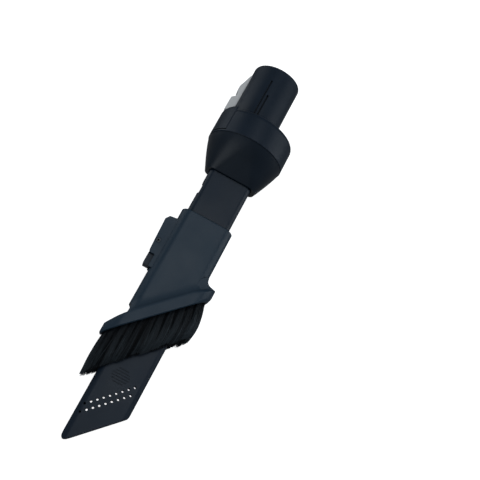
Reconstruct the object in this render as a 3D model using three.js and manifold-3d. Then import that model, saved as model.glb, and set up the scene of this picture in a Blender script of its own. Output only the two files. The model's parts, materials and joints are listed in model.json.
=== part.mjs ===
// A flat crevice tool with a sliding dusting brush for a handheld vacuum cleaner.
//
// Tool frame, in millimetres: +Y runs along the tube from the mouth's tip to the neck, +Z points out
// of the front face, +X to the right. The finished group is tilted so that the tool lies on its back,
// resting on the coupling and the brush, with its origin at the middle of the bounding box's bottom.

import * as THREE from 'three';
import { mergeVertices } from 'three/addons/utils/BufferGeometryUtils.js';
import Module from 'manifold-3d';

const wasm = await Module();
wasm.setup();

// ---- Driving dimensions ----

const REST_TILT = THREE.MathUtils.degToRad(5.2); // the axis rises towards the neck as the tool lies
const GAP = 0.3; // between pieces that touch
const RUN = 0.5; // running gap of the brush sleeve on the tube
const CORNER_STEPS = 5; // facets in each rounded corner of a section

// Flat tube
const TUBE = { halfWidth: 17, halfDepth: 7, radius: 4 };
const TUBE_WALL = 1.6;
const TUBE_TOP = 230;
const MOUTH_OFFSET = 12; // the mouth lies on y = x + MOUTH_OFFSET
const MOUTH_TIP_RADIUS = 3.5;
const MOUTH_HEEL_RADIUS = 3;
const BEAD = { from: 217.4, to: 220.4, proud: 2 };
const HOLE_RADIUS = 0.85;
const BACK_HOLE = { radius: 0.85, shift: 0.85 }; // the back wall's holes stand a little higher
const HOLE_COUNT = 9;
const HOLE_FIRST_X = -13.3;
const HOLE_PITCH_X = 3.02;
const HOLE_ROW_OFFSETS = [31.4, 37.4]; // each row lies on y = x + offset
const GRIP = { atX: -1.1, height: 0.7, depth: 0.35 }; // a patch of fine grooves across the front
const GRIP_LINES = [[45.4, 7], [47.3, 10.5], [49.2, 12.5], [51.1, 12.5], [53, 10.5], [54.9, 7]]; // y, width
const NOTCH = { length: 10.3, depth: 0.9, fromY: [94.7, 192.7] };

// Coupling
const RIM = { halfWidth: 20.4, halfDepth: 9, radius: 7, y: 214 };
const CREASE_Y = 238.6;
const COLLAR_RADIUS = 30.3;
const COLLAR_TOP = 260.2;
const COLLAR_WALL = 2;
const SHOULDER_ROUND = 4;
const SHELL_WALL = 2;
const CONE_STEPS = 8;
const CONE_BULGE = 1.15; // 1 is a straight cone

// Neck
const NECK = { x: -5.5, radius: 19, bore: 16.2, top: 308.5 };
const NECK_FLANGE = { radius: 21, from: 254.5, to: 257.5 };
const NECK_RIM_ROUND = 1;
const KEY_GROOVE = { width: 1.3, depth: 1.6, from: 262.5 };
const KEY_GROOVES = [{ x: -8.45, to: 296 }, { x: -5.85, to: 283 }];

// Release catch on the left
const CATCH_PIVOT = { x: -23.6, y: 236 };
const CATCH_HALF_DEPTH = 4;
const CATCH_PIN_RADIUS = 1.2;
const BUTTON = { inner: 27, outer: 30.4, halfDepth: 21.6, edgeX: -20.5, from: 240.8, to: 263 };

// Brush carriage
const SLEEVE = { halfWidth: 20.3, halfDepth: 9.2, radius: 7, top: 177 };
const FLANGE = { halfWidth: 28.6, halfDepth: 13, radius: 10.5, from: 96.8, to: 109.2 };
const FILLET = { halfWidth: 23.2, halfDepth: 10.4, radius: 8.2 }; // where it starts, a step below the flange
const FLANGE_POCKET = { halfWidth: 26.6, halfDepth: 11.2, radius: 9, to: 100.3 };
const UNDERCUT = { cornerY: 97.4, innerX: -18.3, edge: [[-18.3, 89.6, 0.4], [-22.4, 84.9, 2], [-26.4, 79.4]] };
const FLANGE_END_Y = 133.3; // the flange's right end is cut level here
const BRISTLE_TIP = 64.5; // the tips lie on y = x + BRISTLE_TIP
const BRISTLE_BANK_SPLIT = 17.6;

// Rocker latch on the sleeve's left
const LATCH_PIVOT = { x: -24.3, y: 146.2 };
const LATCH_PIN = { radius: 1.25, bore: 0.75, head: 1.65, halfLength: 7.4 };
const CHEEK = { inner: 4.6, outer: 6.6 };
const LEVER_HALF_DEPTH = 4.2;
const LATCH_TOE = { innerX: -21.1, pocketX: -19, from: 126.9, to: 135.6 }; // the thumb end of the rocker

// Screws that join collar and cone, on a circle round the tool's axis
const SCREW_ANGLES = [0, 75, -75];
const SCREW_CIRCLE = 24.9;
const SCREW = { head: 2.4, headHeight: 1.2, shank: 1.1, recess: 2.75, recessDepth: 1.5, bottom: 247 };
const POST_RADIUS = 3;

// ---- Materials ----

const plastic = (color, roughness) => new THREE.MeshStandardMaterial({ color, roughness, metalness: 0 });
const BLACK_SATIN = plastic(0x1d2630, 0.42);
const BLACK_GLOSS = plastic(0x0e141d, 0.3);
const BLACK_MATT = plastic(0x27313c, 0.6);
const GREY_PLASTIC = plastic(0xa4a8ab, 0.5);
const BRISTLE_BLACK = plastic(0x12171b, 0.75);
const RUBBER = plastic(0x141414, 0.9);
const STEEL = new THREE.MeshStandardMaterial({ color: 0x9aa0a6, roughness: 0.35, metalness: 1 });

// ---- Solids: three.js geometry, joined and cut by manifold-3d ----

function solidOf(geometry) {
  const bare = geometry.clone();
  bare.deleteAttribute('normal');
  bare.deleteAttribute('uv');
  const merged = mergeVertices(bare, 1e-4);
  return new wasm.Manifold(new wasm.Mesh({
    numProp: 3,
    vertProperties: merged.attributes.position.array,
    triVerts: new Uint32Array(merged.index.array),
  }));
}

function meshOf(name, solid, material) {
  const { vertProperties, triVerts } = solid.getMesh();
  const geometry = new THREE.BufferGeometry();
  geometry.setAttribute('position', new THREE.BufferAttribute(vertProperties, 3));
  geometry.setIndex(new THREE.BufferAttribute(triVerts, 1));
  geometry.computeVertexNormals();
  const mesh = new THREE.Mesh(geometry, material);
  mesh.name = name;
  return mesh;
}

const union = (...solids) => solids.reduce((sum, next) => sum.add(next));

function box(x0, x1, y0, y1, z0, z1) {
  const geometry = new THREE.BoxGeometry(x1 - x0, y1 - y0, z1 - z0);
  geometry.translate((x0 + x1) / 2, (y0 + y1) / 2, (z0 + z1) / 2);
  return solidOf(geometry);
}

// A round bar along Y from y0 to y1.
function barY(radius, x, z, y0, y1, sides = 24) {
  const geometry = new THREE.CylinderGeometry(radius, radius, y1 - y0, sides);
  geometry.translate(x, (y0 + y1) / 2, z);
  return solidOf(geometry);
}

// A round bar along Z from z0 to z1.
function barZ(radius, x, y, z0, z1, sides = 20) {
  const geometry = new THREE.CylinderGeometry(radius, radius, z1 - z0, sides);
  geometry.rotateX(Math.PI / 2);
  geometry.translate(x, y, (z0 + z1) / 2);
  return solidOf(geometry);
}

// A flat outline in the X-Y plane, extruded from z0 to z1.
function plate(shape, z0, z1) {
  const options = { depth: z1 - z0, bevelEnabled: false, curveSegments: 6 };
  const geometry = new THREE.ExtrudeGeometry(shape, options);
  geometry.translate(0, 0, z0);
  return solidOf(geometry);
}

// A body of revolution round a line along Y through x. The profile's [radius, y] points start and end on that line.
function turned(profile, x, sides = 48) {
  const geometry = new THREE.LatheGeometry(profile.map(([r, y]) => new THREE.Vector2(r, y)), sides);
  geometry.translate(x, 0, 0);
  return solidOf(geometry);
}

// A rounded rectangle across the tube as [x, z] points. With a radius near both half sizes it is a circle.
function section({ halfWidth, halfDepth, radius, x = 0 }, steps = CORNER_STEPS) {
  const points = [];
  for (const [cornerX, cornerZ, start] of [[1, 1, 0], [-1, 1, 90], [-1, -1, 180], [1, -1, 270]]) {
    for (let i = 0; i <= steps; i++) {
      const angle = THREE.MathUtils.degToRad(start + (90 * i) / steps);
      points.push([
        x + cornerX * (halfWidth - radius) + radius * Math.cos(angle),
        cornerZ * (halfDepth - radius) + radius * Math.sin(angle),
      ]);
    }
  }
  return points;
}

const MIN_FLAT = 0.15; // half the flat left at a circle's quarter points, so that all sections match
const round = (radius, x = 0) => ({ halfWidth: radius, halfDepth: radius, radius: radius - MIN_FLAT, x });
const grown = (s, by) => ({
  ...s,
  halfWidth: s.halfWidth + by,
  halfDepth: s.halfDepth + by,
  radius: Math.max(s.radius + by, 0.5),
});

// A closed skin through sections of equal point count, each { y, ...section }, in rising y.
function loft(sections, steps = CORNER_STEPS) {
  const rings = sections.map((s) => section(s, steps));
  const count = rings[0].length;
  const positions = rings.flatMap((ring, k) => ring.flatMap(([x, z]) => [x, sections[k].y, z]));
  const index = [];
  for (let k = 0; k + 1 < rings.length; k++) {
    for (let i = 0; i < count; i++) {
      const a = k * count + i;
      const b = k * count + ((i + 1) % count);
      index.push(a, a + count, b, b, a + count, b + count);
    }
  }
  const top = (rings.length - 1) * count;
  for (let i = 1; i + 1 < count; i++) {
    index.push(0, i, i + 1);
    index.push(top, top + i + 1, top + i);
  }
  const geometry = new THREE.BufferGeometry();
  geometry.setAttribute('position', new THREE.Float32BufferAttribute(positions, 3));
  geometry.setIndex(index);
  return geometry;
}

const tubeBlock = (s, y0, y1, steps) => solidOf(loft([{ ...s, y: y0 }, { ...s, y: y1 }], steps));

// Slanted parts are lofted straight, then sheared so that their y becomes y + x: 45 degrees across the front.
const SHEAR = new THREE.Matrix4().makeShear(1, 0, 0, 0, 0, 0);
const slanted = (sections, steps) => solidOf(loft(sections, steps).applyMatrix4(SHEAR));
const slantedBlock = (s, y0, y1, steps) => slanted([{ ...s, y: y0 }, { ...s, y: y1 }], steps);

// A polygon of [x, y, cornerRadius] points as a shape with rounded corners.
function roundedPolygon(corners) {
  const shape = new THREE.Shape();
  const at = (i) => new THREE.Vector2(...corners[(i + corners.length) % corners.length]);
  corners.forEach(([x, y, radius = 0], i) => {
    const corner = new THREE.Vector2(x, y);
    const before = at(i - 1).sub(corner).normalize();
    const after = at(i + 1).sub(corner).normalize();
    const reach = radius / Math.tan(before.angleTo(after) / 2);
    const enter = corner.clone().addScaledVector(before, reach);
    const leave = corner.clone().addScaledVector(after, reach);
    if (i === 0) shape.moveTo(enter.x, enter.y);
    else shape.lineTo(enter.x, enter.y);
    if (radius > 0) shape.quadraticCurveTo(x, y, leave.x, leave.y);
  });
  shape.closePath();
  return shape;
}

// ---- Flat tube ----

function creviceTube() {
  const bead = grown(TUBE, BEAD.proud);
  const mouth = roundedPolygon([
    [-TUBE.halfWidth, TUBE_TOP],
    [-TUBE.halfWidth, MOUTH_OFFSET - TUBE.halfWidth, MOUTH_TIP_RADIUS],
    [TUBE.halfWidth, MOUTH_OFFSET + TUBE.halfWidth, MOUTH_HEEL_RADIUS],
    [TUBE.halfWidth, TUBE_TOP],
  ]);
  let tube = tubeBlock(TUBE, -10, TUBE_TOP).intersect(plate(mouth, -10, 10));
  tube = tube.add(tubeBlock(bead, BEAD.from, BEAD.to));
  tube = tube.subtract(tubeBlock(grown(TUBE, -TUBE_WALL), -12, TUBE_TOP + 1));
  for (const offset of HOLE_ROW_OFFSETS) {
    for (let i = 0; i < HOLE_COUNT; i++) {
      const x = HOLE_FIRST_X + i * HOLE_PITCH_X;
      tube = tube.subtract(barZ(HOLE_RADIUS, x, x + offset, 2, 8, 12));
      if (i === 0) continue; // the first hole of a row is in the front wall only
      tube = tube.subtract(barZ(BACK_HOLE.radius, x, x + offset + BACK_HOLE.shift, -8, -2, 12));
    }
  }
  for (const [y, width] of GRIP_LINES) {
    const [x0, x1] = [GRIP.atX - width / 2, GRIP.atX + width / 2];
    const [y0, y1] = [y - GRIP.height / 2, y + GRIP.height / 2];
    tube = tube.subtract(box(x0, x1, y0, y1, TUBE.halfDepth - GRIP.depth, TUBE.halfDepth + 1));
  }
  for (const y of NOTCH.fromY) {
    tube = tube.subtract(box(-TUBE.halfWidth - 1, NOTCH.depth - TUBE.halfWidth, y, y + NOTCH.length, -8, 8));
  }
  return meshOf('crevice_tube', tube, BLACK_SATIN);
}

// ---- Coupling ----

// The cone's section at height y, with its wall moved in by inset.
function coneSection(y, inset) {
  const t = (y - RIM.y) / (CREASE_Y - GAP - RIM.y);
  const blend = 1 - (1 - t) ** CONE_BULGE;
  const top = COLLAR_RADIUS - 0.4;
  const mix = (a, b) => THREE.MathUtils.lerp(a, b, blend);
  const halfWidth = mix(RIM.halfWidth, top) - inset;
  const halfDepth = mix(RIM.halfDepth, top) - inset;
  const outerRadius = Math.min(mix(RIM.radius, top), halfDepth + inset - MIN_FLAT);
  return { y, halfWidth, halfDepth, radius: outerRadius - inset };
}

function coneLoft(from, to, inset) {
  const sections = [];
  for (let i = 0; i <= CONE_STEPS; i++) {
    sections.push(coneSection(from + ((to - from) * i) / CONE_STEPS, inset));
  }
  return sections;
}

const screwCentres = SCREW_ANGLES.map((degrees) => {
  const angle = THREE.MathUtils.degToRad(degrees);
  return { x: SCREW_CIRCLE * Math.cos(angle), z: SCREW_CIRCLE * Math.sin(angle) };
});

function couplingCone() {
  const steps = 10;
  const top = CREASE_Y - GAP;
  const outside = solidOf(loft(coneLoft(RIM.y, top, 0), steps));
  const inside = coneLoft(BEAD.from - GAP, top, SHELL_WALL);
  inside.push({ ...inside.at(-1), y: top + 1 });
  let cone = outside.subtract(solidOf(loft(inside, steps)));
  cone = cone.subtract(tubeBlock(grown(TUBE, RUN), RIM.y - 1, BEAD.from));
  const ear = (z0, z1) => box(-27.6, -21, 232.4, top, z0, z1);
  cone = cone.add(union(ear(4.7, 7.2), ear(-7.2, -4.7)).intersect(outside));
  for (const { x, z } of screwCentres) {
    cone = cone.add(barY(POST_RADIUS, x, z, top - 2.7, COLLAR_TOP - 2.7));
    cone = cone.subtract(barY(SCREW.shank + GAP, x, z, SCREW.bottom - 1, COLLAR_TOP, 16));
  }
  cone = cone.subtract(barZ(CATCH_PIN_RADIUS + GAP, CATCH_PIVOT.x, CATCH_PIVOT.y, -8, 8));
  return meshOf('coupling_cone', cone, BLACK_GLOSS);
}

function couplingCollar() {
  const plateBottom = COLLAR_TOP - 2.4;
  const inner = COLLAR_RADIUS - COLLAR_WALL;
  const profile = [[0, CREASE_Y], [COLLAR_RADIUS - 0.4, CREASE_Y], [COLLAR_RADIUS, CREASE_Y + 0.4]];
  const roundSteps = 6;
  for (let i = 0; i <= roundSteps; i++) {
    const angle = ((Math.PI / 2) * i) / roundSteps;
    profile.push([
      COLLAR_RADIUS - SHOULDER_ROUND * (1 - Math.cos(angle)),
      COLLAR_TOP - SHOULDER_ROUND * (1 - Math.sin(angle)),
    ]);
  }
  profile.push([0, COLLAR_TOP]);
  let collar = turned(profile, 0, 64);
  collar = collar.subtract(barY(inner, 0, 0, CREASE_Y - 1, plateBottom, 64));
  collar = collar.subtract(barY(NECK.radius + GAP, NECK.x, 0, CREASE_Y, COLLAR_TOP + 1, 48));
  // The button's window, open to the top, leaves room for the pad to swing inwards.
  const window = box(-40, -18, CREASE_Y + 1.4, COLLAR_TOP + 1, -22.2, 22.2);
  collar = collar.subtract(window.subtract(barY(26, 2, 0, CREASE_Y, COLLAR_TOP + 2, 64)));
  for (const { x, z } of screwCentres) {
    collar = collar.subtract(barY(SCREW.recess, x, z, COLLAR_TOP - SCREW.recessDepth, COLLAR_TOP + 1));
    collar = collar.subtract(barY(SCREW.shank + GAP, x, z, plateBottom - 1, COLLAR_TOP, 16));
  }
  return meshOf('coupling_collar', collar, BLACK_SATIN);
}

function couplingScrews() {
  return screwCentres.map(({ x, z }, i) => {
    const headBottom = COLLAR_TOP - SCREW.recessDepth + GAP;
    const headTop = headBottom + SCREW.headHeight;
    let screw = barY(SCREW.head, x, z, headBottom, headTop);
    screw = screw.add(barY(SCREW.shank, x, z, SCREW.bottom, headBottom + 0.1, 16));
    const slot = (halfX, halfZ) => box(x - halfX, x + halfX, headTop - 0.6, headTop + 1, z - halfZ, z + halfZ);
    screw = screw.subtract(slot(1.5, 0.3)).subtract(slot(0.3, 1.5));
    return meshOf(`coupling_screw_${i + 1}`, screw, STEEL);
  });
}

// Keeps the flanges clear of the catch's arm, which runs up on the neck's left.
const catchClearance = (y0, y1) => box(-40, -21.8, y0, y1, -30, 30);

function neckSpigot() {
  const { x, radius, bore, top } = NECK;
  const outline = turned([
    [0, NECK_FLANGE.from], [radius, NECK_FLANGE.from], [radius, top - NECK_RIM_ROUND],
    [radius - NECK_RIM_ROUND * 0.3, top - NECK_RIM_ROUND * 0.3], [radius - NECK_RIM_ROUND, top], [0, top],
  ], x, 64);
  const flange = barY(NECK_FLANGE.radius, x, 0, NECK_FLANGE.from, NECK_FLANGE.to, 48);
  let neck = outline.add(flange.subtract(catchClearance(250, 260)));
  const housing = box(-23.5, -17.2, NECK_FLANGE.from, 304.5, -6.2, 6.2);
  neck = neck.subtract(barY(bore, x, 0, 250, top + 1, 64).subtract(housing));
  neck = neck.subtract(box(-40, -18.8, 250, 302.5, -4.6, 4.6));
  for (const groove of KEY_GROOVES) {
    const { width, depth, from } = KEY_GROOVE;
    const [x0, x1] = [groove.x - width / 2, groove.x + width / 2];
    neck = neck.subtract(box(x0, x1, from, groove.to, radius - depth, radius + 1));
  }
  return meshOf('neck_spigot', neck, BLACK_SATIN);
}

function innerDuct() {
  const foot = TUBE_TOP + 2.8;
  const neckY = 251;
  const flangeTop = NECK_FLANGE.from - GAP;
  const steps = 10;
  const skin = (grow, y0, y1) => [
    { ...grown(TUBE, grow), y: y0 },
    { ...round(NECK.bore + TUBE_WALL + grow, NECK.x), y: neckY },
    { ...round(NECK.bore + TUBE_WALL + grow, NECK.x), y: y1 },
  ];
  let duct = solidOf(loft(skin(0, foot, flangeTop), steps));
  const flange = barY(NECK_FLANGE.radius, NECK.x, 0, flangeTop - 3, flangeTop, 48);
  duct = duct.add(flange.subtract(catchClearance(240, 260)));
  const bore = skin(-TUBE_WALL, foot, flangeTop + 1);
  bore.unshift({ ...bore[0], y: foot - 1 });
  duct = duct.subtract(solidOf(loft(bore, steps)));
  duct = duct.subtract(box(-40, -22.5, 240, 260, -30, 30));
  return meshOf('inner_duct', duct, BLACK_MATT);
}

function tubeGasket() {
  const y0 = TUBE_TOP + GAP;
  const y1 = TUBE_TOP + 2.5;
  const ring = tubeBlock(TUBE, y0, y1).subtract(tubeBlock(grown(TUBE, -TUBE_WALL), y0 - 1, y1 + 1));
  return meshOf('tube_gasket', ring, RUBBER);
}

function neckGasket() {
  const y0 = COLLAR_TOP + GAP;
  const y1 = y0 + 1.5;
  let ring = barY(NECK.radius + 1.9, NECK.x, 0, y0, y1, 48);
  ring = ring.subtract(barY(NECK.radius + GAP, NECK.x, 0, y0 - 1, y1 + 1, 48));
  ring = ring.subtract(box(-40, -20.6, y0 - 1, y1 + 1, -30, 30));
  return meshOf('neck_gasket', ring, RUBBER);
}

// ---- Release catch ----

function releaseCatch() {
  const half = CATCH_HALF_DEPTH;
  const arm = plate(roundedPolygon([
    [-24.1, 236], [-24.1, 262], [-23.9, 266], [-23.9, 299.6], [-24.7, 300],
    [-28.6, 286.8, 1], [-28.5, 283.2, 0.8], [-26.8, 280], [-27.2, 278.2], [-30.2, 275.4, 1],
    [-30.3, 264, 0.6], [-26.3, 264], [-26.3, 236],
  ]), -half, half);
  const boss = barZ(2.6, CATCH_PIVOT.x, CATCH_PIVOT.y, -half, half);
  let lever = arm.add(boss);
  lever = lever.subtract(barZ(CATCH_PIN_RADIUS + GAP, CATCH_PIVOT.x, CATCH_PIVOT.y, -9, 9));
  // Room at the boss for the torsion spring.
  lever = lever.subtract(box(-30, -20, 232, 239.4, 1, 5));
  return meshOf('release_catch', lever, GREY_PLASTIC);
}

function releaseButton() {
  const { inner, outer, halfDepth, edgeX, from, to } = BUTTON;
  let pad = turned([
    [0, from], [outer, from], [outer, to - 3.2], [outer - 0.9, to - 1], [outer - 2.6, to], [0, to],
  ], 0, 64);
  pad = pad.subtract(barY(inner, 0, 0, from - 1, to + 1, 64));
  pad = pad.intersect(box(-40, edgeX, from, to, -halfDepth, halfDepth));
  return meshOf('release_button', pad, BLACK_SATIN);
}

function releasePin() {
  return meshOf('release_pin', barZ(CATCH_PIN_RADIUS, CATCH_PIVOT.x, CATCH_PIVOT.y, -7.1, 7.1), STEEL);
}

function releaseSpring() {
  const { x, y } = CATCH_PIVOT;
  let spring = barZ(2.4, x, y, 1.4, 4.3).subtract(barZ(CATCH_PIN_RADIUS + GAP, x, y, 1, 5));
  spring = spring.add(box(x + 1.6, x + 2.3, y, y + 8, 1.6, 2.4));
  spring = spring.add(box(x + 1.6, x + 2.3, y - 6, y, 3.4, 4.2));
  return meshOf('release_spring', spring, STEEL);
}

// ---- Brush carriage ----

// The flange and the fillet that leads to the sleeve, as straight sections before the shear.
function flangeSections() {
  const sections = [
    { ...grown(FLANGE, -0.6), halfWidth: FLANGE.halfWidth - 2, y: FLANGE.from },
    { ...FLANGE, halfWidth: FLANGE.halfWidth - 0.8, y: FLANGE.from + 0.8 },
    { ...FLANGE, y: FLANGE.from + 2.6 },
    { ...FLANGE, y: 105.4 },
    { ...FLANGE, halfWidth: 26, radius: 10, y: 107.4 },
    { ...FLANGE, halfWidth: 23.6, halfDepth: 12.6, radius: 9.5, y: 108.9 },
    { ...FILLET, y: 109.3 },
  ];
  const filletSteps = 5;
  const end = 118.6;
  for (let i = 1; i <= filletSteps; i++) {
    const t = i / filletSteps;
    const left = (1 - t) ** 2; // the concave fillet dies out into the sleeve
    sections.push({
      halfWidth: SLEEVE.halfWidth + (FILLET.halfWidth - SLEEVE.halfWidth) * left,
      halfDepth: SLEEVE.halfDepth + (FILLET.halfDepth - SLEEVE.halfDepth) * left,
      radius: SLEEVE.radius + (FILLET.radius - SLEEVE.radius) * left,
      y: 109.3 + (end - 109.3) * t,
    });
  }
  return sections;
}

function latchCheeks() {
  const outline = roundedPolygon([
    [-18, 167.3], [-25.4, 166.2, 1], [-27.6, 162.9, 1], [-27, 150], [-26.3, 135.8, 2.2],
    [-21.6, 135.8], [-21.6, LATCH_TOE.from - 0.6, 0.6], [-18, LATCH_TOE.from - 0.6],
  ]);
  const cheek = (z0, z1) => plate(outline, z0, z1);
  const bridge = cheek(-CHEEK.outer, CHEEK.outer).intersect(box(-30, -18, 165.3, 168, -7, 7));
  return union(cheek(CHEEK.inner, CHEEK.outer), cheek(-CHEEK.outer, -CHEEK.inner), bridge);
}

// The acute corner at the right is filled in: level with the flange's end, with a fillet up to the sleeve.
function flangeEnd() {
  const fillet = 5;
  const shape = new THREE.Shape();
  shape.moveTo(15, 110);
  shape.lineTo(FLANGE.halfWidth, 110);
  shape.lineTo(FLANGE.halfWidth, FLANGE_END_Y);
  shape.lineTo(SLEEVE.halfWidth + fillet, FLANGE_END_Y);
  shape.quadraticCurveTo(SLEEVE.halfWidth, FLANGE_END_Y, SLEEVE.halfWidth, FLANGE_END_Y + fillet);
  shape.lineTo(15, FLANGE_END_Y + fillet);
  shape.closePath();
  const band = slantedBlock({ halfWidth: FLANGE.halfWidth, halfDepth: 9, radius: 7 }, 104, 120);
  return band.intersect(plate(shape, -10, 10));
}

// At the left the flange's top edge runs in under the sleeve's square corner.
function flangeUndercut() {
  const { cornerY, innerX, edge } = UNDERCUT;
  const outline = roundedPolygon([
    [-40, cornerY], [-SLEEVE.halfWidth + 0.5, cornerY, 0.4], [innerX, cornerY - 1.2, 0.4], ...edge, [-40, 66],
  ]);
  return plate(outline, -20, 20);
}

function brushSleeve() {
  const upper = solidOf(loft([
    { ...SLEEVE, y: 40 }, { ...SLEEVE, y: SLEEVE.top - 0.7 }, { ...grown(SLEEVE, -0.7), y: SLEEVE.top },
  ], 7));
  const belowFlange = slantedBlock({ halfWidth: 40, halfDepth: 20, radius: 5 }, -60, 105);
  const flange = slanted(flangeSections(), 8).subtract(box(20.4, 40, FLANGE_END_Y, 150, -20, 20));
  let sleeve = union(upper.subtract(belowFlange), flange, flangeEnd(), latchCheeks());
  sleeve = sleeve.subtract(flangeUndercut());
  sleeve = sleeve.subtract(slantedBlock(FLANGE_POCKET, 90, FLANGE_POCKET.to, 8));
  sleeve = sleeve.subtract(tubeBlock(grown(TUBE, RUN), 0, SLEEVE.top + 1));
  sleeve = sleeve.subtract(box(-24, -17, 156, 165.3, -CHEEK.inner, CHEEK.inner));
  const toeRoom = [LATCH_TOE.from - 1.3, LATCH_TOE.to + 1.4];
  sleeve = sleeve.subtract(box(-24, LATCH_TOE.pocketX, ...toeRoom, -CHEEK.inner, CHEEK.inner));
  sleeve = sleeve.subtract(barZ(LATCH_PIN.radius + GAP, LATCH_PIVOT.x, LATCH_PIVOT.y, -8, 8));
  return meshOf('brush_sleeve', sleeve, BLACK_MATT);
}

function bristleBase() {
  const from = FLANGE.from + 0.6;
  const to = FLANGE_POCKET.to - 0.45;
  const ring = slantedBlock(grown(FLANGE_POCKET, -GAP), from, to, 8);
  const passage = slantedBlock(grown(TUBE, 0.9), from - 1, to + 1, 8);
  return meshOf('bristle_base', ring.subtract(passage), BLACK_MATT);
}

function bristleBanks() {
  const root = FLANGE.from + 0.1;
  const outer = { halfWidth: 26.1, halfDepth: 10.8, radius: 8.6 };
  const skirt = slanted([
    { halfWidth: 27.1, halfDepth: 11.9, radius: 9, x: 1.1, y: BRISTLE_TIP },
    { halfWidth: 28.2, halfDepth: 12.3, radius: 9.6, x: 1.6, y: 73 },
    { halfWidth: 28, halfDepth: 12.4, radius: 9.6, x: 1.1, y: 82 },
    { halfWidth: 27, halfDepth: 11.6, radius: 9.2, x: 0.3, y: 92.5 },
    { ...outer, y: 95.6 },
    { ...outer, y: root },
  ], 7).subtract(slantedBlock(grown(TUBE, 1.4), BRISTLE_TIP - 1, root + 1, 7));
  const split = BRISTLE_BANK_SPLIT;
  const banks = {
    bristles_left: box(-40, -split, 20, 140, -20, 20),
    bristles_right: box(split, 40, 20, 140, -20, 20),
    bristles_front: box(GAP - split, split - GAP, 20, 140, 0, 20),
    bristles_back: box(GAP - split, split - GAP, 20, 140, -20, 0),
  };
  return Object.entries(banks).map(([name, region]) => meshOf(name, skirt.intersect(region), BRISTLE_BLACK));
}

// ---- Rocker latch ----

function latchLever() {
  const outline = roundedPolygon([
    [LATCH_TOE.innerX, LATCH_TOE.from, 0.4], [LATCH_TOE.innerX, LATCH_TOE.to, 0.4],
    [-22.4, LATCH_TOE.to + 0.8], [-22.4, 157.6], [-17.5, 158.4, 0.5], [-17.5, 162.6, 0.5], [-19.2, 164.6],
    [-24.6, 164.6, 1], [-26.9, 162, 1], [-26.3, 150], [-25.8, 139], [-26.1, 135],
    [-26.1, LATCH_TOE.from, 0.8],
  ]);
  const boss = barZ(2.9, LATCH_PIVOT.x, LATCH_PIVOT.y, -LEVER_HALF_DEPTH, LEVER_HALF_DEPTH)
    .intersect(box(-25.5, -21.4, 140, 152, -5, 5));
  let lever = plate(outline, -LEVER_HALF_DEPTH, LEVER_HALF_DEPTH).add(boss);
  lever = lever.subtract(barZ(LATCH_PIN.radius + GAP, LATCH_PIVOT.x, LATCH_PIVOT.y, -8, 8));
  return meshOf('latch_lever', lever, BLACK_SATIN);
}

// A hollow rivet with a flared head at each end.
function latchPin() {
  const { radius, bore, head, halfLength } = LATCH_PIN;
  const bar = (r, z0, z1, sides) => barZ(r, LATCH_PIVOT.x, LATCH_PIVOT.y, z0, z1, sides);
  const faceZ = CHEEK.outer + GAP;
  const heads = bar(head, faceZ, halfLength).add(bar(head, -halfLength, -faceZ));
  const rivet = bar(radius, -halfLength, halfLength).add(heads);
  return meshOf('latch_pin', rivet.subtract(bar(bore, -halfLength - 1, halfLength + 1, 12)), STEEL);
}

// A bowed strip between the lever's lower arm and the sleeve.
function latchSpring() {
  const thickness = 0.35;
  const shape = new THREE.Shape();
  shape.moveTo(-20.7, 137.4);
  shape.quadraticCurveTo(-23.1, 140.3, -20.7, 143.2);
  shape.lineTo(-20.7 - thickness, 143.2);
  shape.quadraticCurveTo(-23.1 - thickness, 140.3, -20.7 - thickness, 137.4);
  shape.closePath();
  return meshOf('latch_spring', plate(shape, -2, 2), STEEL);
}

// ---- Assembly ----

const tool = new THREE.Group();
tool.add(
  creviceTube(), couplingCone(), couplingCollar(), neckSpigot(), innerDuct(), tubeGasket(), neckGasket(),
  ...couplingScrews(), releasePin(), releaseSpring(),
  releaseCatch(), releaseButton(),
  brushSleeve(), bristleBase(), ...bristleBanks(), latchPin(), latchSpring(),
  latchLever(),
);
tool.rotation.x = REST_TILT;

const part = new THREE.Group();
part.add(tool);
part.updateMatrixWorld(true);
const bounds = new THREE.Box3().setFromObject(part, true);
const middle = bounds.getCenter(new THREE.Vector3());
tool.position.set(-middle.x, -middle.y, -bounds.min.z);

export default part;
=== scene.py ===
"""A flat crevice tool with a sliding dusting brush, on a pale floor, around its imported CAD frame."""

import json
import math
import random

import bmesh
import bpy
from mathutils import Matrix, Vector

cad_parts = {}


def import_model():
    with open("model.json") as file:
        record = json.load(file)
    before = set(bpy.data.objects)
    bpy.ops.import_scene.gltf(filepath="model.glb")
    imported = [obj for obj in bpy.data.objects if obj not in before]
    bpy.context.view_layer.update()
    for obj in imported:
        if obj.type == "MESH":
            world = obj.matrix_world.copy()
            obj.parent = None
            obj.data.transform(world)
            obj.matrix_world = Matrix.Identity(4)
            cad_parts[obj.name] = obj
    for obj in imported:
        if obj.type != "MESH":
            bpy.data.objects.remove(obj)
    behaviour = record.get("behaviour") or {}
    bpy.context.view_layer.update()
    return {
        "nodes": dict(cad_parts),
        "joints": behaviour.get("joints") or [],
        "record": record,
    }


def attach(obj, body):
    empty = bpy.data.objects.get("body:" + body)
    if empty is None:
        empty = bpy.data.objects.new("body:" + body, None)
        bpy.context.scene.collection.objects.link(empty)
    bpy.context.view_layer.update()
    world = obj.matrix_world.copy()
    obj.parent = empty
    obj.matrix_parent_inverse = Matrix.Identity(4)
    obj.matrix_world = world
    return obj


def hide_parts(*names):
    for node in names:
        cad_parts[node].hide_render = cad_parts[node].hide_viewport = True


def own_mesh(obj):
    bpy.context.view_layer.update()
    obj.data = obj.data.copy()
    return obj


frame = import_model()
random.seed(41)

MM = 0.001

# ---- The tool frame: millimetres, +Y from the mouth to the neck, +Z out of the front face ----


def joint(name):
    return next(j for j in frame["joints"] if j["name"] == name)


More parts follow.
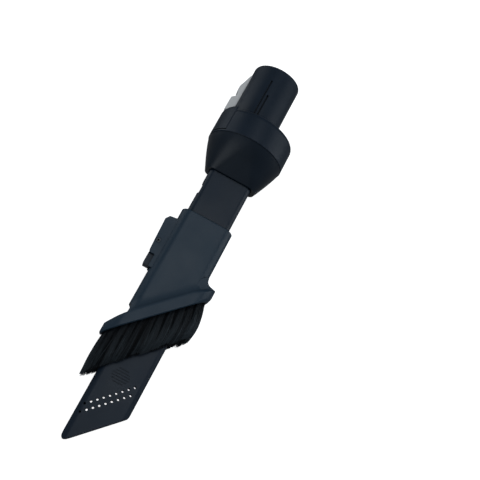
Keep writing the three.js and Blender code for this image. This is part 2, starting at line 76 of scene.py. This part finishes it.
LATCH_PIN = (-24.3, 146.2)  # where the rocker's pin stands in the tool frame
AXIS_X = Vector((1, 0, 0))
AXIS_Y = Vector(joint("brush_slide")["axis"]).normalized()
AXIS_Z = AXIS_X.cross(AXIS_Y)
ORIGIN = Vector(joint("latch_rocker")["pos_m"]) - MM * (LATCH_PIN[0] * AXIS_X + LATCH_PIN[1] * AXIS_Y)


def direction(x, y, z):
    """A direction in the tool frame as one in the row frame."""
    return x * AXIS_X + y * AXIS_Y + z * AXIS_Z


def place(x, y, z):
    """A point in the tool frame, in millimetres, as one in the row frame, in metres."""
    return ORIGIN + MM * direction(x, y, z)


# ---- Procedural materials ----

# painted shade: the plastics' colour and reflection are darkened by ambient occlusion in grooves and
# gaps
CREVICE = 2 * MM  # how wide a groove or gap may be and still look darker inside
CREVICE_DARKEST = 0.3
RAMP_LOW, RAMP_HIGH = 0.3, 0.7  # a noise mostly stays between these


class Nodes:
    """A small helper that adds nodes to a material and links them."""

    def __init__(self, name):
        self.material = bpy.data.materials.new(name)
        self.material.use_nodes = True
        self.tree = self.material.node_tree
        self.shader = self.tree.nodes["Principled BSDF"]
        self.coords = self.tree.nodes.new("ShaderNodeTexCoord").outputs["Object"]

    def add(self, kind, inputs=None, **settings):
        node = self.tree.nodes.new(kind)
        for key, value in settings.items():
            setattr(node, key, value)
        for key, value in (inputs or {}).items():
            if isinstance(value, bpy.types.NodeSocket):
                self.tree.links.new(value, node.inputs[key])
            else:
                node.inputs[key].default_value = value
        return node

    def link(self, output, name):
        self.tree.links.new(output, self.shader.inputs[name])

    def noise(self, scale, detail=3.0, roughness=0.5, stretch=None):
        vector = self.coords
        if stretch is not None:
            inputs = {"Vector": vector, "Scale": stretch}
            vector = self.add("ShaderNodeMapping", inputs).outputs["Vector"]
        inputs = {"Vector": vector, "Scale": scale, "Detail": detail, "Roughness": roughness}
        return self.add("ShaderNodeTexNoise", inputs).outputs["Fac"]

    def spread(self, value, low, high):
        """A noise's value mapped to low to high."""
        inputs = {"Value": value, "To Min": low, "To Max": high}
        inputs.update({"From Min": RAMP_LOW, "From Max": RAMP_HIGH})
        return self.add("ShaderNodeMapRange", inputs).outputs["Result"]

    def blend(self, value, low, high):
        """A colour from low to high as value goes from RAMP_LOW to RAMP_HIGH."""
        ramp = self.add("ShaderNodeValToRGB", {"Fac": value})
        ramp.color_ramp.elements[0].position = RAMP_LOW
        ramp.color_ramp.elements[1].position = RAMP_HIGH
        ramp.color_ramp.elements[0].color = (*low, 1)
        ramp.color_ramp.elements[1].color = (*high, 1)
        return ramp.outputs["Color"]

    def bump(self, height, distance, strength=1.0, normal=None):
        inputs = {"Height": height, "Distance": distance, "Strength": strength}
        if normal is not None:
            inputs["Normal"] = normal
        return self.add("ShaderNodeBump", inputs).outputs["Normal"]

    def painted_crevice_shade(self):
        """Painted shade: 1 on an open face, down to CREVICE_DARKEST deep in a gap narrower than
        CREVICE, from ambient occlusion.
        """
        crevice = self.add("ShaderNodeAmbientOcclusion", {"Distance": CREVICE}, samples=6).outputs["AO"]
        inputs = {"Value": crevice, "From Min": 0.1, "From Max": 0.9, "To Min": CREVICE_DARKEST}
        return self.add("ShaderNodeMapRange", inputs).outputs["Result"]

    def shaded(self, colour, share):
        """The colour times share; here it paints shade into a colour."""
        inputs = {0: colour, "Scale": share}
        return self.add("ShaderNodeVectorMath", inputs, operation="SCALE").outputs[0]


def moulded(name, low, high, roughness, grain=0.02, specular=0.5):
    """Moulded plastic: a fine grain, faint flow streaks, handling haze, and painted shade that darkens
    the colour and the reflection in crevices.
    """
    n = Nodes(name)
    haze = n.noise(38, 4)
    flow = n.noise(60, 3, stretch=(1, 0.12, 1))
    mixed = n.add("ShaderNodeMath", {0: haze, 1: flow}, operation="ADD").outputs[0]
    half = n.add("ShaderNodeMath", {0: mixed, 1: 0.5}, operation="MULTIPLY").outputs[0]
    # painted shade in crevices, for both the base colour and the specular level
    painted_crevice_shade = n.painted_crevice_shade()
    n.link(n.shaded(n.blend(half, low, high), painted_crevice_shade), "Base Color")
    gloss = n.add("ShaderNodeMath", {0: painted_crevice_shade, 1: specular}, operation="MULTIPLY").outputs[0]
    n.link(gloss, "Specular IOR Level")
    n.link(n.spread(haze, roughness - 0.05, roughness + 0.06), "Roughness")
    pits = n.noise(3200, 2)
    waves = n.noise(45, 2)
    soft = n.bump(waves, 0.00008, 0.5)
    n.link(n.bump(pits, grain * MM, 0.6, soft), "Normal")
    return n.material


def steel(name, low, high):
    """Steel with a fine brushed grain."""
    n = Nodes(name)
    brushed = n.noise(900, 3, stretch=(1, 1, 0.06))
    n.link(n.blend(brushed, low, high), "Base Color")
    n.link(n.spread(brushed, 0.26, 0.42), "Roughness")
    n.link(n.bump(brushed, 0.00001, 0.5), "Normal")
    n.shader.inputs["Metallic"].default_value = 1.0
    return n.material


def rubber(name):
    """Black rubber with a faint bloom."""
    n = Nodes(name)
    bloom = n.noise(120, 5)
    n.link(n.blend(bloom, (0.008, 0.008, 0.009), (0.022, 0.022, 0.023)), "Base Color")
    n.link(n.spread(bloom, 0.7, 0.9), "Roughness")
    n.link(n.bump(n.noise(1500, 3), 0.00003, 0.6), "Normal")
    return n.material


def bristle(name):
    """Nylon filaments: each strand's tone, which holds random variation as well as painted shade and
    painted highlights, with fine streaks along it.
    """
    n = Nodes(name)
    streak = n.noise(1400, 2, stretch=(1, 0.02, 1))
    tone = n.add("ShaderNodeAttribute", attribute_name="tone").outputs["Fac"]
    shift = n.spread(streak, -0.12, 0.12)
    mixed = n.add("ShaderNodeMath", {0: tone, 1: shift}, operation="ADD").outputs[0]
    inputs = {"Value": mixed, "To Min": RAMP_LOW, "To Max": RAMP_HIGH}
    ramp = n.add("ShaderNodeMapRange", inputs).outputs["Result"]
    n.link(n.blend(ramp, (0.0006, 0.0014, 0.0030), (0.048, 0.062, 0.074)), "Base Color")
    n.link(n.spread(streak, 0.36, 0.6), "Roughness")
    n.shader.inputs["Specular IOR Level"].default_value = 0.15
    return n.material


SATIN_RANGE = (0.006, 0.014, 0.026), (0.010, 0.020, 0.036)
SATIN = moulded("satin_black_plastic", *SATIN_RANGE, 0.42, specular=0.24)
GLOSS_RANGE = (0.0035, 0.009, 0.017), (0.006, 0.014, 0.026)
GLOSS = moulded("gloss_black_plastic", *GLOSS_RANGE, 0.36, grain=0.008, specular=0.36)
MATT_RANGE = (0.013, 0.030, 0.051), (0.020, 0.041, 0.066)
MATT = moulded("matt_black_plastic", *MATT_RANGE, 0.46, grain=0.03, specular=0.28)
GREY = moulded("grey_plastic", (0.82, 0.82, 0.82), (0.90, 0.90, 0.90), 0.5)
STEEL = steel("satin_steel", (0.42, 0.43, 0.45), (0.62, 0.63, 0.65))
DARK_STEEL = steel("blackened_steel", (0.018, 0.021, 0.026), (0.045, 0.05, 0.056))
RUBBER = rubber("black_rubber")
BRISTLE = bristle("bristle_nylon")

FINISH = {
    "satin_black": SATIN,
    "gloss_black": GLOSS,
    "matt_black": MATT,
    "grey_plastic": GREY,
    "bristle_black": BRISTLE,
    "rubber": RUBBER,
    "steel": STEEL,
}
NODE_SLOT = {s["node"]: s["material_slot"] for s in frame["record"]["subparts"]}


def set_material(obj, material):
    obj.data.materials.clear()
    obj.data.materials.append(material)
    for polygon in obj.data.polygons:
        polygon.material_index = 0


# ---- Rounded edges on the carried-over CAD pieces ----

EDGE_ROUND = {
    "crevice_tube": 0.30,
    "coupling_cone": 0.15,
    "coupling_collar": 0.12,
    "neck_spigot": 0.35,
    "brush_sleeve": 0.45,
    "latch_lever": 0.35,
    "release_catch": 0.35,
    "release_button": 0.40,
}
SMALL_ROUND = 0.08


def round_edges(obj, width, angle=32):
    """Modifiers only, so the CAD mesh stays as it is: weld, merge flat facets, round the edges."""
    weld = obj.modifiers.new("weld", "WELD")
    weld.merge_threshold = 2e-6
    flatten = obj.modifiers.new("flatten", "DECIMATE")
    flatten.decimate_type = "DISSOLVE"
    flatten.angle_limit = math.radians(0.01)
    bevel = obj.modifiers.new("round", "BEVEL")
    bevel.width = width * MM
    bevel.segments = 3
    bevel.limit_method = "ANGLE"
    bevel.angle_limit = math.radians(angle)
    bevel.miter_outer = "MITER_ARC"
    bevel.use_clamp_overlap = True
    for polygon in obj.data.polygons:
        polygon.use_smooth = True
    split = obj.modifiers.new("split", "EDGE_SPLIT")
    split.split_angle = math.radians(angle - 2)
    normals = obj.modifiers.new("normals", "WEIGHTED_NORMAL")
    normals.keep_sharp = True


for name, node in frame["nodes"].items():
    set_material(node, DARK_STEEL if name == "latch_pin" else FINISH[NODE_SLOT[name]])
    round_edges(node, EDGE_ROUND.get(name, SMALL_ROUND))

# ---- Bristles ----

ROOT_V = 98.0  # the filaments' roots lie on y = x + ROOT_V
TIP_V = 64.5
OUTLINES = [  # v, half width, half depth, corner radius, x offset of the brush's outline
    (ROOT_V, 26.1, 10.8, 8.6, 0.0),
    (95.6, 26.1, 10.8, 8.6, 0.0),
    (92.5, 27.0, 11.6, 9.2, 0.3),
    (82.0, 28.0, 12.4, 9.6, 1.1),
    (73.0, 28.2, 12.3, 9.6, 1.6),
    (TIP_V, 27.1, 11.9, 9.0, 1.1),
]
ROOM = (18.5, 8.5, 5.4)  # half width, half depth and radius of the room left for the tube
BANK_SPLIT = 17.5


def ring_point(s, half_width, half_depth, radius, offset=0.0):
    """The point a share s of the way round a rounded rectangle, from the middle of its right side."""
    straight_x, straight_z = 2 * (half_width - radius), 2 * (half_depth - radius)
    arc = math.pi / 2 * radius
    legs = [straight_z / 2, arc, straight_x, arc, straight_z, arc, straight_x, arc, straight_z / 2]
    left = (s % 1.0) * sum(legs)
    for leg, length in enumerate(legs):
        if left <= length or leg == len(legs) - 1:
            break
        left -= length
    share = left / length if length else 0.0
    inner_x, inner_z = half_width - radius, half_depth - radius
    if leg == 0:
        x, z = half_width, inner_z * share
    elif leg == 2:
        x, z = inner_x - 2 * inner_x * share, half_depth
    elif leg == 4:
        x, z = -half_width, inner_z - 2 * inner_z * share
    elif leg == 6:
        x, z = -inner_x + 2 * inner_x * share, -half_depth
    elif leg == 8:
        x, z = half_width, -inner_z + inner_z * share
    else:
        corner = (leg - 1) // 2
        centre_x = inner_x if corner in (0, 3) else -inner_x
        centre_z = inner_z if corner in (0, 1) else -inner_z
        angle = math.pi / 2 * (corner + share)
        x, z = centre_x + radius * math.cos(angle), centre_z + radius * math.sin(angle)
    return x + offset, z


def outline_at(v):
    """The brush's outline at v, between the rows of OUTLINES."""
    for above, below in zip(OUTLINES, OUTLINES[1:]):
        if v >= below[0]:
            share = (above[0] - v) / (above[0] - below[0])
            return [a + (b - a) * share for a, b in zip(above[1:], below[1:])]
    return list(OUTLINES[-1][1:])


def brush_point(s, depth, v):
    """x and z a share depth of the way from the outline to the tube's room, at v."""
    outer = ring_point(s, *outline_at(v))
    inner = ring_point(s, *ROOM)
    return [o + (i - o) * depth for o, i in zip(outer, inner)]


def bank_of(x, z):
    if x < -BANK_SPLIT:
        return "left"
    if x > BANK_SPLIT:
        return "right"
    return "front" if z > 0 else "back"


FILAMENT_RADIUS = 0.16
FILAMENT_STEPS = 7
TAPER_FROM, TAPER = 0.8, 0.55  # the share of its length where a strand thins, and to what share
# painted shade and highlight: a strand's tone is painted darker at its root and paler at its tip
PAINTED_ROOT_SHADE, TONE_RISE, PAINTED_TIP_HIGHLIGHT = 0.15, 1.6, 0.9  # how a strand's tone grows from root to tip
TIP_SPREAD, TUFT_UNEVEN = 1.1, 3.6  # how much shorter strands and whole tufts are, in millimetres
TUFT_LEAN, STRAND_DRIFT, FAN = 0.003, 0.0025, 0.7  # sideways: of a tuft, of a strand, and outwards
DEPTH_SPREAD, DEPTH_DRIFT = 0.1, 0.07
WAVE_X, WAVE_Z = 0.12, 0.10
STRAY_SHARE, STRAY_DRIFT = 0.04, 0.012  # how many strands leave their tuft, and how far round
# painted highlight: a share of strands is painted pale as glints
FLECK_SHARE, FLECK_TONE = 0.05, 0.5  # how many strands are pale, and how much paler
# painted highlight: the side banks' outer strands are painted paler, as if catching more light
LIT_FROM, LIT_OVER, LIT_GAIN = 19, 7, 1.6  # the banks' outer strands catch more light
CORE_SHORT = 7.0  # how far the core stays above the tips
CORE_DEPTHS = (0.42, 0.80)
CORE_AROUND, CORE_DOWN = 220, 5  # its faces round the whole brush and from root to end
# the tone column paints light: the outer row paler as painted highlight, the inner rows darker as
# painted shade
TUFT_ROWS = (  # depth, tufts, strands in each, half width as a share of the pitch, tone
    (0.12, 27, 84, 0.26, 0.31),
    (0.42, 38, 40, 0.40, 0.06),
    (0.74, 38, 34, 0.42, 0.10),
)


def add_filament(bm, points, radius, tone):
    """A thin three-sided strand through points, tapering at its tip, with painted shade at its root and
    a painted highlight at its tip.
    """
    layer = bm.verts.layers.float.get("tone") or bm.verts.layers.float.new("tone")
    rings = []
    for i, (x, y, z) in enumerate(points):
        share = i / (len(points) - 1)
        r = radius * (1.0 if share < TAPER_FROM else TAPER)
        grown = PAINTED_ROOT_SHADE + (1 - PAINTED_ROOT_SHADE) * min(1, TONE_RISE * share)
        ring = []
        for k in range(3):
            angle = 2 * math.pi * k / 3 + 0.5
            vert = bm.verts.new(place(x + r * math.cos(angle), y, z + r * math.sin(angle)))
            # painted shade towards the root, painted highlight at the tip
            vert[layer] = tone * grown + PAINTED_TIP_HIGHLIGHT * tone * share**5
            ring.append(vert)
        rings.append(ring)
    for low, high in zip(rings, rings[1:]):
        for k in range(3):
            bm.faces.new((low[k], high[k], high[(k + 1) % 3], low[(k + 1) % 3]))
    bm.faces.new(rings[0])
    bm.faces.new(reversed(rings[-1]))


def tuft_strands(s_centre, depth_centre, count, half_width):
    """One tuft's strands, as lists of points in the tool frame: close at the root, spread below."""
    strands = []
    lean = random.gauss(0, TUFT_LEAN)
    uneven = TUFT_UNEVEN * random.random() ** 2
    for _ in range(count):
        offset = random.uniform(-1, 1)
        s_root = s_centre + half_width * offset
        depth_root = depth_centre + random.uniform(-DEPTH_SPREAD, DEPTH_SPREAD)
        stray = random.gauss(0, STRAY_DRIFT) if random.random() < STRAY_SHARE else 0.0
        s_drift = random.gauss(0, STRAND_DRIFT) + lean + stray + FAN * half_width * offset
        depth_drift = random.gauss(0, DEPTH_DRIFT)
        tip = TIP_V + abs(random.gauss(0, TIP_SPREAD)) + uneven
        wave = random.uniform(0, 2 * math.pi)
        points = []
        for i in range(FILAMENT_STEPS + 1):
            share = i / FILAMENT_STEPS
            v = ROOT_V + (tip - ROOT_V) * share
            depth = min(0.97, max(0.01, depth_root + depth_drift * share**1.5))
            x, z = brush_point(s_root + s_drift * share**1.4, depth, v)
            x += WAVE_X * share * math.sin(wave + 5 * share)
            z += WAVE_Z * share * math.cos(wave + 4 * share)
            points.append((x, v + x, z))
        strands.append(points)
    return strands


def add_shade_core(bm, bank):
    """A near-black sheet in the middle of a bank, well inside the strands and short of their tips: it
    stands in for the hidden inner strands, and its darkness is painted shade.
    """
    around, down = CORE_AROUND, CORE_DOWN
    grid = {}
    for i in range(around):
        s = i / around
        for k in range(down + 1):
            v = ROOT_V + (TIP_V + CORE_SHORT - ROOT_V) * k / down
            for side, depth in enumerate(CORE_DEPTHS):
                x, z = brush_point(s, depth, v)
                grid[i, k, side] = (x, v + x, z)
    verts = {}

    # painted shade: these vertices keep tone 0, the darkest bristle colour
    def vert(key):
        if key not in verts:
            verts[key] = bm.verts.new(place(*grid[key]))
        return verts[key]

    def inside(i):
        x, _, z = grid[i % around, 0, 0]
        return bank_of(x, z) == bank

    for i in range(around):
        j = (i + 1) % around
        if not (inside(i) and inside(j)):
            continue
        for k in range(down):
            bm.faces.new([vert((i, k, 0)), vert((j, k, 0)), vert((j, k + 1, 0)), vert((i, k + 1, 0))])
            bm.faces.new([vert((i, k + 1, 1)), vert((j, k + 1, 1)), vert((j, k, 1)), vert((i, k, 1))])
        bm.faces.new([vert((i, down, 0)), vert((j, down, 0)), vert((j, down, 1)), vert((i, down, 1))])
        bm.faces.new([vert((i, 0, 1)), vert((j, 0, 1)), vert((j, 0, 0)), vert((i, 0, 0))])
        for end, other in ((i, i - 1), (j, j + 1)):
            if not inside(other % around):
                for k in range(down):
                    corners = ((end, k, 0), (end, k, 1), (end, k + 1, 1), (end, k + 1, 0))
                    face = [vert(corner) for corner in corners]
                    bm.faces.new(face if end == i else reversed(face))


def build_bristles():
    """Four banks of tufts, one object for each of the CAD's bristle nodes."""
    meshes = {bank: bmesh.new() for bank in ("front", "back", "left", "right")}
    for depth, tufts, strands, spread, row_tone in TUFT_ROWS:
        for i in range(tufts):
            s = (i + random.uniform(-0.1, 0.1)) / tufts
            root_x, root_z = brush_point(s, depth, ROOT_V)
            bm = meshes[bank_of(root_x, root_z)]
            # painted highlight on the side banks' outer strands
            painted_side_light = 1.0 + LIT_GAIN * max(0.0, abs(root_x) - LIT_FROM) / LIT_OVER
            tuft_tone = row_tone * painted_side_light * random.uniform(0.4, 1.5)
            for strand in tuft_strands(s, depth, strands, spread / tufts):
                # painted glint: a few strands painted paler
                painted_glint = FLECK_TONE if random.random() < FLECK_SHARE else 0.0
                tone = max(0.0, tuft_tone + 0.35 * row_tone * random.gauss(0, 1)) + painted_glint
                add_filament(bm, strand, FILAMENT_RADIUS * random.uniform(0.8, 1.2), tone)
    for bank, bm in meshes.items():
        add_shade_core(bm, bank)
        mesh = bpy.data.meshes.new(f"tufts_{bank}")
        bm.to_mesh(mesh)
        bm.free()
        mesh.materials.append(BRISTLE)
        for polygon in mesh.polygons:
            polygon.use_smooth = True
        tufts = bpy.data.objects.new(f"tufts_{bank}", mesh)
        bpy.context.scene.collection.objects.link(tufts)
        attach(tufts, "carriage")
        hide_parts(f"bristles_{bank}")


build_bristles()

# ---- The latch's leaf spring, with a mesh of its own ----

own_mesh(frame["nodes"]["latch_spring"])

# ---- Floor, light and camera ----

FLOOR_HALF = 12  # metres
FLOOR_GLOW = 0.88
WORLD_SEEN, WORLD_LIGHT = 1.1, 0.14  # the world's strength for the camera and as a light


def floor():
    """A pale floor that glows and puts no light on the tool, so that its shadow stays faint."""
    bm = bmesh.new()
    bmesh.ops.create_grid(bm, x_segments=2, y_segments=2, size=FLOOR_HALF)
    mesh = bpy.data.meshes.new("floor")
    bm.to_mesh(mesh)
    bm.free()
    obj = bpy.data.objects.new("floor", mesh)
    bpy.context.scene.collection.objects.link(obj)
    n = Nodes("pale_floor")
    mottle = n.noise(3, 4)
    n.link(n.blend(mottle, (0.86, 0.86, 0.865), (0.9, 0.9, 0.905)), "Base Color")
    n.link(n.spread(mottle, 0.75, 0.85), "Roughness")
    n.shader.inputs["Emission Color"].default_value = (1, 1, 1, 1)
    n.shader.inputs["Emission Strength"].default_value = FLOOR_GLOW
    n.shader.inputs["Specular IOR Level"].default_value = 0.2
    mesh.materials.append(n.material)
    obj.visible_glossy = False
    obj.visible_diffuse = False


def world():
    """Pale to the camera, dimmer as a source of light, so that the black plastic keeps its contrast."""
    made = bpy.data.worlds.new("studio")
    bpy.context.scene.world = made
    made.use_nodes = True
    tree = made.node_tree
    background = tree.nodes["Background"]
    background.inputs["Color"].default_value = (0.93, 0.97, 1.0, 1)
    path = tree.nodes.new("ShaderNodeLightPath")
    strength = tree.nodes.new("ShaderNodeMapRange")
    strength.inputs["To Min"].default_value = WORLD_LIGHT
    strength.inputs["To Max"].default_value = WORLD_SEEN
    tree.links.new(path.outputs["Is Camera Ray"], strength.inputs["Value"])
    tree.links.new(strength.outputs["Result"], background.inputs["Strength"])


def softbox(name, position, target, size, power):
    """A rectangular area light at position, aimed at target, both in the tool frame in millimetres."""
    data = bpy.data.lights.new(name, "AREA")
    data.shape = "RECTANGLE"
    data.size, data.size_y = size
    data.energy = power
    data.color = (0.9, 0.96, 1.0)
    obj = bpy.data.objects.new(name, data)
    bpy.context.scene.collection.objects.link(obj)
    obj.location = place(*position)
    aim = place(*target) - obj.location
    obj.rotation_euler = aim.to_track_quat("-Z", "Y").to_euler()


def lights():
    softbox("overhead", (60, 400, 1200), (0, 140, 0), (0.45, 0.45), 2.9)
    softbox("left_front", (-540, -560, 440), (0, 225, 0), (0.7, 0.7), 1.5)
    softbox("rim_right", (900, 520, 330), (0, 190, 0), (0.35, 1.0), 3.0)
    softbox("rim_left", (-950, 620, 120), (0, 190, 0), (0.4, 1.0), 2.0)


CAMERA = {"at": (4.2, -22.0, 547.1), "look": (27.0, 177.9, 0), "up": (-0.479, 0.831, 0.283), "lens": 60}


def camera():
    data = bpy.data.cameras.new("camera")
    data.sensor_width = 36
    data.lens = CAMERA["lens"]
    data.clip_start, data.clip_end = 0.01, 50
    obj = bpy.data.objects.new("camera", data)
    bpy.context.scene.collection.objects.link(obj)
    obj.location = place(*CAMERA["at"])
    back = (obj.location - place(*CAMERA["look"])).normalized()
    up = direction(*CAMERA["up"])
    right = up.cross(back).normalized()
    up = back.cross(right)
    obj.matrix_world = matrix_of(right, up, back, obj.location)
    bpy.context.scene.camera = obj


def matrix_of(x, y, z, at):
    matrix = Matrix.Identity(4)
    for row in range(3):
        matrix[row][0], matrix[row][1], matrix[row][2], matrix[row][3] = x[row], y[row], z[row], at[row]
    return matrix


floor()
world()
lights()
camera()

settings = bpy.context.scene.view_settings
settings.view_transform = "Standard"
settings.look = "None"
settings.exposure = 0.0

bpy.context.view_layer.update()
